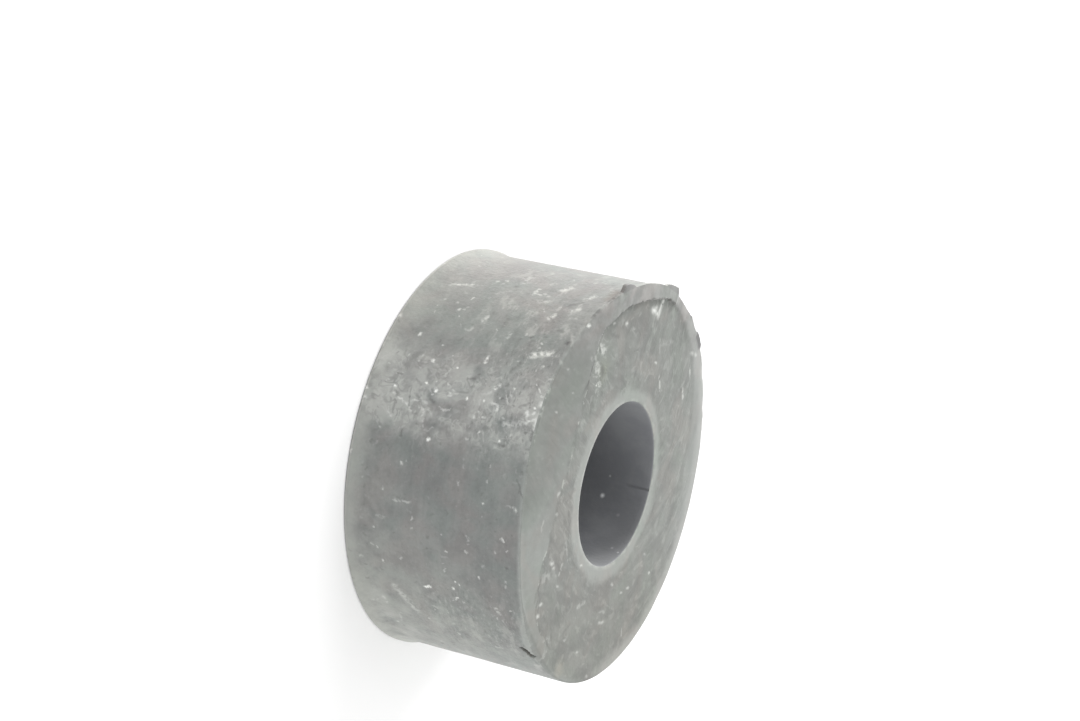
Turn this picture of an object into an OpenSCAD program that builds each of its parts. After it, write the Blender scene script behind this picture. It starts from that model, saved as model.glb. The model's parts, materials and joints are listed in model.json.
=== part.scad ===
// Rubber stop ring for a kickstand, moulded in one piece.
// It stands on its rear face, with the bore along Z and the origin in the middle of that face.

/* [Ring] */
// Outside diameter of the ring
outer_d = 25; // [22:0.5:40]
// Height from the rear face to the front face
height = 11.8; // [8:0.1:30]
// Radius of the rounded front rim
rim_r = 0.14; // [0.05:0.01:0.3]

/* [Bore] */
// Diameter of the hole through the middle
bore_d = 10.3; // [6:0.1:12]
// Radius of the rounded edge at both mouths of the hole
mouth_r = 0.1; // [0.05:0.05:0.6]
// Width of the dished ring round the front mouth
dish_w = 1.3; // [0.8:0.1:2]
// Depth of the dish where it meets the rounded edge
dish_depth = 0.04; // [0.02:0.01:0.2]

/* [Rear lip] */
// How far the lip stands out from the wall
lip_out = 0.2; // [0.1:0.05:0.6]
// Height of the straight part of the lip
lip_band = 0.35; // [0.2:0.05:1]
// Height over which the lip runs out into the wall
lip_flare = 1.2; // [0.5:0.1:3]
// Radius of the lip's rounded rear edge
lip_edge_r = 0.14; // [0.05:0.01:0.2]

/* [Sunken edge] */
// Direction in which the front edge has sunk, in degrees from X
sink_turn = 245; // [230:1:270]
// Width of the sunken part, measured inwards from the wall
sink_w = 2.9; // [1.5:0.1:4]
// Drop of the front edge at its lowest point
sink_drop = 0.45; // [0.1:0.05:1]

/* [Moulding skin] */
// Width of the skin left standing along the front rim
skin_w = 1.05; // [0.6:0.05:2]
// Height of the skin over the front face on its high part
skin_h = 0.2; // [0.1:0.05:0.5]
// Height of the skin on its low part
skin_low_h = 0.1; // [0.05:0.01:0.2]
// How far the skin bulges past the wall
skin_out = 0.06; // [0.02:0.01:0.15]
// Where the skin starts, in degrees from X
skin_from = 104; // [95:1:125]
// Where the low part of the skin meets the high part, in degrees from X
skin_step = 166; // [162:0.5:168]
// Where the skin ends, in degrees from X
skin_to = 214; // [208:1:225]
// Thickness of the torn fin on the skin's outer edge
fin_t = 0.26; // [0.1:0.02:0.4]

/* [Nick] */
// Direction of the nick in the wall, in degrees from X
nick_turn = 327.5; // [290:0.5:350]
// Distance of the nick's middle below the front face
nick_below = 0.52; // [0.3:0.02:1]
// Length of the nick
nick_len = 1.3; // [0.6:0.1:2]
// Width of the nick
nick_w = 0.28; // [0.1:0.02:0.4]
// Depth of the nick into the wall
nick_depth = 0.45; // [0.2:0.05:0.8]
// Slant of the nick, in degrees from level
nick_slant = 34; // [0:1:60]

/* [Hidden] */
$fn = 144;
rubber_grey = [0.5, 0.51, 0.5];

outer_r = outer_d / 2;
bore_r = bore_d / 2;
lip_r = outer_r + lip_out;
dish_r = bore_r + mouth_r + dish_w;
mouth_top = height - dish_depth;

// Cutters run this far past the faces that they open
overrun = 1;
// The skin and the fin are rooted this deep in the ring
root = 0.5;
// The low skin runs on this far under the high one, in degrees
lap = 1;

// The fin's torn edge: direction in degrees from X, and reach past the wall
fin_low_edge = [
    [126, 0.08], [133, 0.17], [137.5, 0.18], [138.5, 0.38], [142, 0.42], [144, 0.34],
    [145, 0.14], [149, 0.18], [152, 0.27], [155, 0.16], [161, 0.1], [skin_step + 0.6, 0.17]
];
fin_high_edge = [
    [skin_step + 0.3, 0.2], [168.2, 0.52], [172, 0.38], [175, 0.35], [176.5, 0.14], [183, 0.09],
    [197.5, 0.08], [199, 0.3], [201.5, 0.44], [203.5, 0.48], [205, 0.12], [211, 0.08]
];

// Point at a distance from the axis, in a direction
function polar(r, turn) = [r * cos(turn), r * sin(turn)];

// Corner to cut away so that a rounded edge is left
module edge_rounding(r) {
    difference() {
        translate([-overrun, -overrun]) square(r + overrun);
        translate([r, r]) circle(r);
    }
}

// Half section of the ring, from the bore to the outside wall
module ring_section() {
    difference() {
        polygon([
            [bore_r, 0],
            [lip_r, 0],
            [lip_r, lip_band],
            [outer_r, lip_band + lip_flare],
            [outer_r, height],
            [dish_r, height],
            [bore_r + mouth_r, mouth_top],
            [bore_r, mouth_top]
        ]);
        translate([bore_r, 0]) edge_rounding(mouth_r);
        translate([bore_r, mouth_top]) mirror([0, 1]) edge_rounding(mouth_r);
        translate([lip_r, 0]) mirror([1, 0]) edge_rounding(lip_edge_r);
        translate([outer_r, height]) mirror([1, 0]) mirror([0, 1]) edge_rounding(rim_r);
    }
}

// Slice taken off the front edge, sloping down to the wall
module sunken_edge() {
    rotate(sink_turn)
        translate([outer_r - sink_w, 0, height])
            rotate([0, atan(sink_drop / sink_w), 0])
                translate([0, -outer_d, 0])
                    cube([outer_d, 2 * outer_d, sink_drop + overrun]);
}

// Lens with two pointed ends, where two circles lie over each other
module lens(length, width) {
    r = (length * length + width * width) / (4 * width);
    intersection() {
        translate([0, r - width / 2]) circle(r);
        translate([0, width / 2 - r]) circle(r);
    }
}

// Slit torn into the wall just below the front edge
module nick() {
    rotate(nick_turn)
        translate([outer_r, 0, height - nick_below])
            rotate([nick_slant, 0, 0])
                rotate([90, 0, 90])
                    linear_extrude(2 * nick_depth, center = true)
                        lens(nick_len, nick_w);
}

// Raised skin that follows the front rim from one direction to another
module skin(from, to, h) {
    rotate(from)
        rotate_extrude(angle = to - from)
            translate([outer_r - skin_w, height - root])
                square([skin_w + skin_out, root + h]);
}

// Thin fin of rubber squeezed out of the mould, torn along its outer edge
module torn_fin(edge, h) {
    count = len(edge);
    outside = [for (p = edge) polar(outer_r + p[1], p[0])];
    inside = [for (i = [count - 1 : -1 : 0]) polar(outer_r - root, edge[i][0])];
    translate([0, 0, height + h - fin_t])
        linear_extrude(fin_t)
            polygon(concat(outside, inside));
}

module stopper() {
    color(rubber_grey) {
        difference() {
            rotate_extrude() ring_section();
            sunken_edge();
            nick();
        }
        skin(skin_from, skin_step + lap, skin_low_h);
        skin(skin_step, skin_to, skin_h);
        torn_fin(fin_low_edge, skin_low_h);
        torn_fin(fin_high_edge, skin_h);
    }
}

stopper();
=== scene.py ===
import json
import math

import bpy
import numpy as np
from mathutils import Euler, Matrix, Vector, noise


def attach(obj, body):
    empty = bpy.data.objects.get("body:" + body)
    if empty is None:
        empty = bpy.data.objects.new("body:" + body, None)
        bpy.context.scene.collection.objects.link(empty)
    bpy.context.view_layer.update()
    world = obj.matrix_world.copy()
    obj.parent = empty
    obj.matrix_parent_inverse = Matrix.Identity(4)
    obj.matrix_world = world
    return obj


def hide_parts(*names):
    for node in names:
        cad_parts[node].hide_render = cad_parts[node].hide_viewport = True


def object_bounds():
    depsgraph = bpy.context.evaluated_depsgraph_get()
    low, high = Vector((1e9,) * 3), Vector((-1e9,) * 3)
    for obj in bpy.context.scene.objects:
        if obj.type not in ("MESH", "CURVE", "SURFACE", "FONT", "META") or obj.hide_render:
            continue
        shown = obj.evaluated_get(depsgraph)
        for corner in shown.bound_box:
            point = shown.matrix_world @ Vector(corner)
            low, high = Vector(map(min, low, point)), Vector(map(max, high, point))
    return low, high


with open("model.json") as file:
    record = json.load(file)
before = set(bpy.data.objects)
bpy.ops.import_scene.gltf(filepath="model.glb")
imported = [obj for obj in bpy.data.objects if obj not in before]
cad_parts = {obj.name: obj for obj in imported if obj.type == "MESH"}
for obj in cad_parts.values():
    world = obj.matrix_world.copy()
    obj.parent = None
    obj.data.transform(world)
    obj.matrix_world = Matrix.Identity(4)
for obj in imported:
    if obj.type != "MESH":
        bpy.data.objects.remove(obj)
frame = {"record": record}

cadLow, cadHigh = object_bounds()
mm = 0.001
mounts = {m["name"]: m for m in frame["record"]["mounts"]}

# Sizes of the moulded ring, in mm, as the CAD solid has them
ring = {
    "faceZ": mounts["front_face"]["pos_m"][2] / mm,
    "boreR": mounts["bore"]["dims"]["r_mm"],
    "lipR": cadHigh.x / mm,
    "lipOut": 0.2,
    "lipBand": 0.35,
    "lipFlare": 1.2,
    "lipEdge": 0.14,
    "mouthR": 0.1,
    "dishW": 1.3,
    "dishDepth": 0.04,
    "rimEdge": 0.03,
    "finLow": 0.06,
    "bandR": 9.0,          # the front face has fine rings out from here
    "fineFace": 0.4,       # finer ones this close to the rim
    "fineWall": 1.6,       # and the wall has them this far below the rim
    "slitZ": 9.8,          # the bore has finer rings up from here
    "smoothAngle": 38,     # degrees; sharper edges stay sharp
}
outerR = ring["lipR"] - ring["lipOut"]
faceZ = ring["faceZ"]
boreR = ring["boreR"]


def deselectAll():
    if bpy.context.object and bpy.context.object.mode != "OBJECT":
        bpy.ops.object.mode_set(mode="OBJECT")
    bpy.ops.object.select_all(action="DESELECT")


def startOutline(name, r, z):
    deselectAll()
    bpy.ops.mesh.primitive_plane_add(size=mm, location=(0, 0, 0))
    piece = bpy.context.object
    piece.name = name
    bpy.ops.object.mode_set(mode="EDIT")
    bpy.ops.mesh.select_all(action="SELECT")
    bpy.ops.mesh.merge(type="CENTER")
    bpy.ops.transform.translate(value=(r * mm, 0, z * mm))
    return piece


def drawOutline(points):
    here = points[0]
    for r, z in points[1:]:
        step = ((r - here[0]) * mm, 0, (z - here[1]) * mm)
        bpy.ops.mesh.extrude_region_move(TRANSFORM_OT_translate={"value": step})
        here = (r, z)


def line(start, end, steps):
    return [(start[0] + (end[0] - start[0]) * i / steps, start[1] + (end[1] - start[1]) * i / steps)
            for i in range(1, steps + 1)]


def arc(centre, radius, fromDeg, toDeg, steps):
    turns = [math.radians(fromDeg + (toDeg - fromDeg) * i / steps) for i in range(1, steps + 1)]
    return [(centre[0] + radius * math.cos(a), centre[1] + radius * math.sin(a)) for a in turns]


# Half section of the ring, drawn from the bore's rear mouth round to the same point
def ringOutline():
    mouthR, dishDepth = ring["mouthR"], ring["dishDepth"]
    lipR, lipBand, lipFlare, lipEdge = ring["lipR"], ring["lipBand"], ring["lipFlare"], ring["lipEdge"]
    dishR = boreR + mouthR + ring["dishW"]
    mouthZ = faceZ - dishDepth
    out = [(boreR, mouthR)]
    out += arc((boreR + mouthR, mouthR), mouthR, 180, 270, 3)
    out += line(out[-1], (lipR - lipEdge, 0), 5)
    out += arc((lipR - lipEdge, lipEdge), lipEdge, 270, 360, 3)
    out += line(out[-1], (lipR, lipBand), 2)
    out += [(outerR + ring["lipOut"] * (1 - i / 6) ** 2, lipBand + lipFlare * i / 6) for i in range(1, 7)]
    out += line(out[-1], (outerR, faceZ - ring["fineWall"]), 14)
    out += line(out[-1], (outerR, faceZ - ring["finLow"] - 0.015), 16)
    out += [(outerR, faceZ - ring["finLow"]), (outerR, faceZ - ring["rimEdge"])]
    out += [(outerR - ring["rimEdge"], faceZ)]
    out += line(out[-1], (outerR - ring["fineFace"], faceZ), 9)
    out += line(out[-1], (ring["bandR"], faceZ), 34)
    out += line(out[-1], (dishR, faceZ), 8)
    for i in range(1, 6):
        sink = dishDepth * (1 - math.cos(math.pi * i / 5)) / 2
        out.append((dishR - ring["dishW"] * i / 5, faceZ - sink))
    out += arc((boreR + mouthR, mouthZ - mouthR), mouthR, 90, 180, 4)
    out += line(out[-1], (boreR, ring["slitZ"]), 7)
    out += line(out[-1], (boreR, mouthR), 9)
    return out


# Turns the section round the axis zone by zone, with closer steps where the rim is torn
turnZones = [
    (0, 100, 112), (100, 216, 387), (216, 232, 40), (232, 318, 115), (318, 337, 64), (337, 360, 26),
]


def turnOutline(section):
    bpy.ops.object.mode_set(mode="OBJECT")
    parts = []
    for start, end, steps in turnZones:
        deselectAll()
        section.select_set(True)
        bpy.context.view_layer.objects.active = section
        bpy.ops.object.duplicate()
        part = bpy.context.object
        part.rotation_euler = (0, 0, math.radians(start))
        bpy.ops.object.transform_apply(location=False, rotation=True, scale=False)
        turned = part.modifiers.new("turned", "SCREW")
        turned.axis, turned.angle = "Z", math.radians(end - start)
        turned.steps, turned.render_steps = steps, steps
        bpy.ops.object.modifier_apply(modifier="turned")
        parts.append(part)
    deselectAll()
    for part in parts + [section]:
        part.select_set(True)
    bpy.context.view_layer.objects.active = section
    bpy.ops.object.join()
    bpy.ops.object.mode_set(mode="EDIT")
    bpy.ops.mesh.select_all(action="SELECT")
    bpy.ops.mesh.remove_doubles(threshold=0.002 * mm)
    bpy.ops.mesh.normals_make_consistent(inside=False)
    bpy.ops.object.mode_set(mode="OBJECT")


outline = ringOutline()
stopper = startOutline("stopper_rubber", *outline[0])
drawOutline(outline)
turnOutline(stopper)
print("ring turned:", len(outline) - 1, "rings,", len(stopper.data.polygons), "faces")


def smooth(x, low, high):
    t = np.clip((x - low) / (high - low), 0, 1)
    return t * t * (3 - 2 * t)


def lookUp(turn, pairs):
    places, values = zip(*pairs)
    return np.interp(turn, places, values)


# Noise that depends on the direction round the axis, -1 to 1
def roundNoise(turn, waves, seed):
    table = np.arange(0, 360.25, 0.25)
    reach = waves / (2 * math.pi)
    turns = [math.radians(t) for t in table]
    rows = [noise.noise(Vector((reach * math.cos(t), reach * math.sin(t), seed))) for t in turns]
    return np.interp(turn, table, rows)


def lumpNoise(co, size, seed):
    return np.array([noise.noise(Vector((x / size, y / size, z / size + seed))) for x, y, z in co])


# Wear of the rim; directions are in degrees from X, lengths in mm
sunkenEdge = {"turn": 245, "width": 2.9, "drop": 0.45, "soft": 0.5, "deep": 2.5}
rimRound = [
    (0, 0.14), (96, 0.14), (108, 0.0), (214, 0.0), (222, 0.16), (240, 0.24), (258, 0.2), (268, 0.1),
    (308, 0.1), (315, 0.3), (324, 0.48), (333, 0.4), (345, 0.14), (360, 0.14),
]
skin = {
    "edge": [
        (96, 10.3), (104, 10.46), (112, 10.52), (122, 10.77), (129, 11.07), (136, 11.27), (144, 11.56),
        (155, 11.75), (165, 11.95), (172, 11.92), (178, 11.7), (185, 11.5), (192, 11.42), (202, 11.41),
        (210, 11.22), (216, 11.11), (220, 10.85), (223, 10.5), (226, 9.86), (230, 9.44), (236, 9.2),
    ],
    "height": [
        (98, 0.0), (108, 0.03), (150, 0.06), (165.5, 0.08), (167, 0.2), (206, 0.2), (216, 0.16),
        (224, 0.05), (234, 0.0),
    ],
    # how strong the painted shade is along the skin's inner edge
    "crease": [
        (160, 0.0), (165, 0.1), (168, 0.5), (177, 0.5), (180, 0.25), (188, 0.2), (191, 0.6), (194, 0.2),
        (200, 0.6), (206, 1.0), (225, 1.0), (229, 0.7), (235, 0.4), (239, 0.0),
    ],
    "step": [(150, 0.5), (164, 0.35), (167, 0.08), (222, 0.08), (236, 0.4)],
    "ragged": 0.09,
    "chipped": 0.06,
}
# How far the torn fin reaches past the wall
finEdge = [
    (124, 0.0), (126, 0.06), (133, 0.15), (137.5, 0.18), (138.5, 0.38), (142, 0.42), (144, 0.34),
    (145, 0.14), (149, 0.18), (152, 0.27), (155, 0.16), (161, 0.1), (165, 0.14), (167, 0.2), (168.2, 0.52),
    (172, 0.38), (175, 0.35), (176.5, 0.14), (183, 0.07), (197.5, 0.06), (199, 0.3), (201.5, 0.44),
    (203.5, 0.48), (205, 0.12), (211, 0.08), (222, 0.06), (226, 0.0),
]
# Where the smooth sunken band ends on the low side of the front face
lowBand = [
    (300, 12.6), (309, 12.6), (312, 10.84), (316, 11.4), (324, 11.33), (335, 11.31), (343, 10.98),
    (350, 11.1), (357, 11.6), (360, 12.6),
]
# How far the smooth band wraps over the edge onto the wall
wrap = [
    (300, 0.0), (306, 0.12), (309, 0.24), (311, 0.1), (313, 0.2), (316, 0.45), (320, 0.6), (325, 0.6),
    (330, 0.45), (336, 0.0),
]
# Where the fin is torn to flaps with painted shade: 0.6 shades them past the wall, 1 also inside it
flaps = [
    (137.5, 0.0), (138.5, 1.0), (143.5, 1.0), (145, 0.3), (150, 0.3), (151.5, 0.55), (153, 0.55),
    (155, 0.3), (165, 0.3), (167.5, 0.6), (175.5, 0.6), (177, 0.2), (197, 0.2), (198.5, 0.64), (205, 0.64),
    (206.5, 0.2), (222, 0.0),
]
nick = {"turn": 327.5, "below": 0.52, "length": 1.3, "width": 0.27, "depth": 0.4, "slant": 33, "bend": 0.05}
wavyRim = {"in": 0.08, "down": 0.04}
smallLumps = {"face": 0.018, "wall": 0.012}
# The smooth band starts at a straight line across the front face
bandLine = {"slope": 0.0924, "from": 7.65, "to": 7.95}
slit = {"turn": 88, "low": 10.2, "width": 0.12, "depth": 0.05}


def readPlaces(piece):
    co = np.empty(len(piece.data.vertices) * 3)
    piece.data.vertices.foreach_get("co", co)
    co = co.reshape(-1, 3) / mm
    return co, np.hypot(co[:, 0], co[:, 1]), np.degrees(np.arctan2(co[:, 1], co[:, 0])) % 360


def skinEdge(turn):
    rough = roundNoise(turn, 90, 3.1) + 0.7 * roundNoise(turn, 260, 6.4)
    return lookUp(turn, skin["edge"]) + skin["ragged"] * rough


def skinMask(r, turn):
    edge = skinEdge(turn)
    half = lookUp(turn, skin["step"]) / 2
    inRange = (turn > skin["edge"][0][0]) & (turn < skin["edge"][-1][0])
    return smooth(r, edge - half, edge + half) * inRange


def nickMask(turn, z):
    along = np.radians(turn - nick["turn"]) * outerR
    up = z - (faceZ - nick["below"])
    slant = math.radians(nick["slant"])
    far = along * math.cos(slant) + up * math.sin(slant)
    ragged = nick["bend"] * (np.sin(far * 6) + 0.5 * np.sin(far * 19))
    off = np.abs(up * math.cos(slant) - along * math.sin(slant) + ragged)
    far = np.abs(far)
    ends = 1 - smooth(far, 0.35 * nick["length"], 0.5 * nick["length"])
    return ends * (1 - smooth(off, 0.25 * nick["width"], 0.6 * nick["width"]))


def slitMask(turn, z):
    off = np.abs(np.radians(turn - slit["turn"]) * boreR)
    sides = 1 - smooth(off, 0.3 * slit["width"], 0.8 * slit["width"])
    return sides * smooth(z, slit["low"] - 0.3, slit["low"] + 0.2)


def storeMask(piece, name, values):
    attribute = piece.data.attributes.new(name, "FLOAT", "POINT")
    attribute.data.foreach_set("value", np.clip(values, 0, 1).astype(np.float32))


# Reshapes the even ring into the worn one, and stores where the materials change
def wearRing(piece):
    co, r, turn = readPlaces(piece)
    z = co[:, 2].copy()
    newR, newZ = r.copy(), z.copy()
    onTop = z > faceZ - ring["dishDepth"] - 0.001
    onWall = (r > outerR - 0.001) & ~onTop
    # The rim's corner is worn round
    q = lookUp(turn, rimRound) + 1e-6
    topTurn = (1 - (outerR - r) / q) * math.pi / 4
    wallTurn = math.pi / 2 - (1 - (faceZ - z) / q) * math.pi / 4
    corner = np.where(onTop, topTurn, wallTurn)
    roundedEdge = (onTop & (outerR - r < q)) | (onWall & (faceZ - z < q))
    newR = np.where(roundedEdge, outerR - q + q * np.sin(corner), newR)
    newZ = np.where(roundedEdge, faceZ - q + q * np.cos(corner), newZ)
    # It is wavy on the camera's side
    wavy = lookUp(turn, [(214, 0), (225, 1), (330, 1), (345, 0)]) * smooth(z, faceZ - 0.5, faceZ)
    wavy *= smooth(r, outerR - 0.9, outerR - 0.2)
    newR -= wavyRim["in"] * wavy * np.abs(roundNoise(turn, 110, 8.3) + 0.6 * roundNoise(turn, 300, 4.4))
    newZ -= wavyRim["down"] * wavy * np.abs(roundNoise(turn, 140, 2.6))
    # The front edge sinks on one side
    past = r * np.cos(np.radians(turn - sunkenEdge["turn"])) - (outerR - sunkenEdge["width"])
    bend = sunkenEdge["soft"]
    drop = sunkenEdge["drop"] / sunkenEdge["width"] * bend * np.log1p(np.exp(past / bend))
    newZ -= drop * smooth(z, faceZ - sunkenEdge["deep"], faceZ) * (r > boreR + 1)
    # Skin left standing along the rim
    height = lookUp(turn, skin["height"])
    rimRows = (z > faceZ - ring["finLow"] - 0.001) & (r > outerR - 0.2)
    share = (z - faceZ + ring["finLow"]) / ring["finLow"]
    newZ += height * np.where(rimRows & (z < faceZ - 0.001), share, skinMask(r, turn) * onTop)
    # Torn fin on its outer edge
    reach = lookUp(turn, finEdge)
    chips = np.abs(roundNoise(turn, 55, 3.8)) + 0.3 * np.abs(roundNoise(turn, 170, 5.2))
    newZ -= skin["chipped"] * chips * (height > 0.02) * smooth(r, outerR - 0.3, outerR) * (z > faceZ - 0.04)
    for waves, seed in ((200, 7.7), (420, 1.9)):
        reach = reach * (1 - 0.3 * np.abs(roundNoise(turn, waves, seed)))
    newR += reach * rimRows
    # Slits torn into the wall and the bore
    newR -= nick["depth"] * nickMask(turn, z) * (r > outerR - 0.1)
    newR += slit["depth"] * slitMask(turn, z) * (r < boreR + 0.02)
    # Small lumps of the moulded surface
    lumps = lumpNoise(co, 2.2, 4.0) + 0.5 * lumpNoise(co, 0.8, 9.0) - 1
    inner = smooth(r, boreR + 0.3, boreR + 1) * smooth(z, 0.1, 1.5)
    newZ += smallLumps["face"] * lumps * onTop * inner
    newR += smallLumps["wall"] * lumps * onWall * inner
    co[:, 0] = newR * np.cos(np.radians(turn))
    co[:, 1] = newR * np.sin(np.radians(turn))
    co[:, 2] = newZ
    piece.data.vertices.foreach_set("co", (co * mm).ravel())
    piece.data.update()
    # Masks for the materials
    x, y = r * np.cos(np.radians(turn)), r * np.sin(np.radians(turn))
    wobble = 0.25 * lumpNoise(co, 0.9, 2.0)
    chord = smooth(-y - bandLine["slope"] * x + wobble, bandLine["from"], bandLine["to"])
    low = lookUp(turn, lowBand) + 0.12 * roundNoise(turn, 120, 5.5)
    lowPart = smooth(r, low - 0.1, low + 0.1) * smooth(turn, 342, 328)
    band = np.maximum.reduce([skinMask(r, turn), chord, lowPart])
    wrapped = lookUp(turn, wrap) * (1 + 0.4 * roundNoise(turn, 160, 6.1))
    over = smooth(z, faceZ - wrapped - 0.08, faceZ - wrapped + 0.08) * (wrapped > 0.01)
    onEdge = np.maximum(band * smooth(z, faceZ - 0.32, faceZ - 0.06), over)
    storeMask(piece, "smoothBand", np.where(onTop, band, onEdge * onWall))
    # Painted shade: along the skin's inner edge, under the torn fin, in the nick and in the bore's slit
    inside = skinEdge(turn) - r
    fine = lookUp(turn, [(218, 0.055), (224, 0.1), (236, 0.1)])
    crease = np.exp(-(inside / fine) ** 2) * lookUp(turn, skin["crease"]) * onTop
    finLine = np.where(onTop, outerR - r, np.abs(faceZ - ring["finLow"] - z)) / 0.06
    broken = smooth(roundNoise(turn, 80, 2.2), -0.5, 0.1) * (onTop | onWall)
    crease += np.exp(-finLine ** 2) * lookUp(turn, [(204, 0), (208, 0.4), (220, 0.45), (225, 0)]) * broken
    crease += nickMask(turn, z) * onWall + 0.3 * slitMask(turn, z) * (r < boreR + 0.02)
    storeMask(piece, "crease", crease)
    fromRim = np.where(onTop, outerR - r, faceZ - z)
    storeMask(piece, "rim", np.exp(-fromRim / 0.4) * (onTop | onWall) * (r > boreR + 1))
    storeMask(piece, "torn", lookUp(turn, flaps) * (onTop | onWall) * (z > faceZ - 0.6))


wearRing(stopper)
print("rim worn")


# Single marks fade out a little past their stated size
markReach = {"speck": 1.15, "stroke": 1.4}


# A socket that can be used in sums, and the one way to make a node
class Wire:
    def __init__(self, tree, socket=None):
        self.tree, self.socket = tree, socket

    def node(self, kind, settings=None, sockets=None, out=0):
        made = self.tree.nodes.new(kind)
        for key, value in (settings or {}).items():
            if key == "stops":
                ramp = made.color_ramp
                while len(ramp.elements) < len(value):
                    ramp.elements.new(0.5)
                for stop, (place, colour) in zip(ramp.elements, value):
                    stop.position, stop.color = place, (*colour, 1)
            else:
                setattr(made, key, value)
        for key, value in (sockets or {}).items():
            if isinstance(value, Wire):
                self.tree.links.new(value.socket, made.inputs[key])
            else:
                made.inputs[key].default_value = value
        if isinstance(out, tuple):
            return [Wire(self.tree, made.outputs[name]) for name in out]
        return Wire(self.tree, made.outputs[out]) if made.outputs else made

    def math(self, operation, *values):
        return self.node("ShaderNodeMath", {"operation": operation}, dict(enumerate(values)))

    def vector(self, operation, *values, out=0):
        return self.node("ShaderNodeVectorMath", {"operation": operation}, dict(enumerate(values)), out)

    def __add__(self, other):
        return self.math("ADD", self, other)

    def __radd__(self, other):
        return self.math("ADD", other, self)

    def __sub__(self, other):
        return self.math("SUBTRACT", self, other)

    def __rsub__(self, other):
        return self.math("SUBTRACT", other, self)

    def __mul__(self, other):
        return self.math("MULTIPLY", self, other)

    def __rmul__(self, other):
        return self.math("MULTIPLY", other, self)

    def __truediv__(self, other):
        return self.math("DIVIDE", self, other)

    def __abs__(self):
        return self.math("ABSOLUTE", self)

    def most(self, other):
        return self.math("MAXIMUM", self, other)

    def __pow__(self, power):
        return self.math("POWER", self, power)

    def between(self, low, high, top=1.0):
        return self.node("ShaderNodeMapRange", {"interpolation_type": "SMOOTHSTEP"},
                         {"Value": self, "From Min": low, "From Max": high, "To Max": top})

    def stretch(self, x, y, z):
        return self.vector("MULTIPLY", self, (x, y, z))

    def cloud(self, scale, detail=3.0, rough=0.5, distort=0.0, out=0):
        return self.node("ShaderNodeTexNoise", None, {"Vector": self, "Scale": scale, "Detail": detail,
                                                      "Roughness": rough, "Distortion": distort}, out)

    def blend(self, under, over):
        return self.node("ShaderNodeMix", {"data_type": "RGBA"}, {0: self, 6: under, 7: over}, 2)

    def tint(self, colour, by):
        settings = {"data_type": "RGBA", "blend_type": "MULTIPLY"}
        return self.node("ShaderNodeMix", settings, {0: self, 6: colour, 7: by}, 2)

    # Short dashes scattered over a flat pattern space in mm
    def flecks(self, perMm, width, length, share, aim, spread):
        grid = self.stretch(perMm, perMm, 0)
        colour, place = grid.node("ShaderNodeTexVoronoi", {"voronoi_dimensions": "2D"},
                                  {"Vector": grid, "Scale": 1.0}, ("Color", "Position"))
        swing, pick, size = colour.node("ShaderNodeSeparateColor", None, {0: colour}, (0, 1, 2))
        local = grid.vector("SUBTRACT", grid, place)
        angle = swing.math("MULTIPLY_ADD", swing, spread, aim - spread / 2)
        local = local.node("ShaderNodeVectorRotate", {"rotation_type": "Z_AXIS"},
                           {"Vector": local, "Angle": angle})
        along, across = local.node("ShaderNodeSeparateXYZ", None, {0: local}, (0, 1))
        grow = (size + 0.4) * perMm
        thin = (abs(across) / grow).between(width / 2, 0.0)
        short = (abs(along) / grow).between(length / 2, length / 5)
        return thin * short * pick.between(share, 0.0)

    # Thin curved lines where a cloud crosses its middle value
    def hairs(self, scale, distort, thick):
        cloud = self.cloud(scale, 1.5, 0.5, distort)
        return abs(cloud - 0.5).between(thick, thick * 0.35)

    # Marks at given places: (x, y, radius, strength)
    def specks(self, marks):
        total = 0.0
        for x, y, radius, strength in marks:
            far = self.vector("DISTANCE", self, (x, y, 0), out="Value")
            total = far.between(radius * markReach["speck"], 0.0, strength).most(total)
        return total

    # Strokes through given points: (half width, strength, (x, y), (x, y), ...)
    def strokes(self, marks):
        total = 0.0
        for half, strength, *points in marks:
            for (x1, y1), (x2, y2) in zip(points, points[1:]):
                way = (x2 - x1, y2 - y1, 0)
                size = way[0] ** 2 + way[1] ** 2
                local = self.vector("SUBTRACT", self, (x1, y1, 0))
                done = local.vector("DOT_PRODUCT", local, (way[0] / size, way[1] / size, 0), out="Value")
                done = done.node("ShaderNodeClamp", None, {"Value": done})
                near = local.node("ShaderNodeVectorMath", {"operation": "SCALE"}, {0: way, "Scale": done})
                far = local.vector("DISTANCE", local, near, out="Value")
                total = far.between(half * markReach["stroke"], 0.0, strength).most(total)
        return total


def newMaterial(name):
    material = bpy.data.materials.new(name)
    material.use_nodes = True
    material.node_tree.nodes.clear()
    return material, Wire(material.node_tree)


def places(sheet):
    co = sheet.node("ShaderNodeTexCoord", out="Object")
    return co.node("ShaderNodeVectorMath", {"operation": "SCALE"}, {0: co, "Scale": 1 / mm})


def stored(sheet, name):
    return sheet.node("ShaderNodeAttribute", {"attribute_name": name}, out="Fac")


# Wall laid out flat in mm: along the circle from the -Y side, then height
def unroll(p, radius):
    x, y, z = p.node("ShaderNodeSeparateXYZ", None, {0: p}, (0, 1, 2))
    around = x.math("ARCTAN2", x, y * -1)
    return p.node("ShaderNodeCombineXYZ", None, {0: around * radius, 1: z}), around, z


def jitter(flat, p, amount):
    shake = p.cloud(3.0, 4.0, 0.65, 0.0, "Color")
    shake = shake.vector("SUBTRACT", shake, (0.5, 0.5, 0))
    return flat.vector("MULTIPLY_ADD", shake, (amount, amount, 0), flat)


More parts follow.
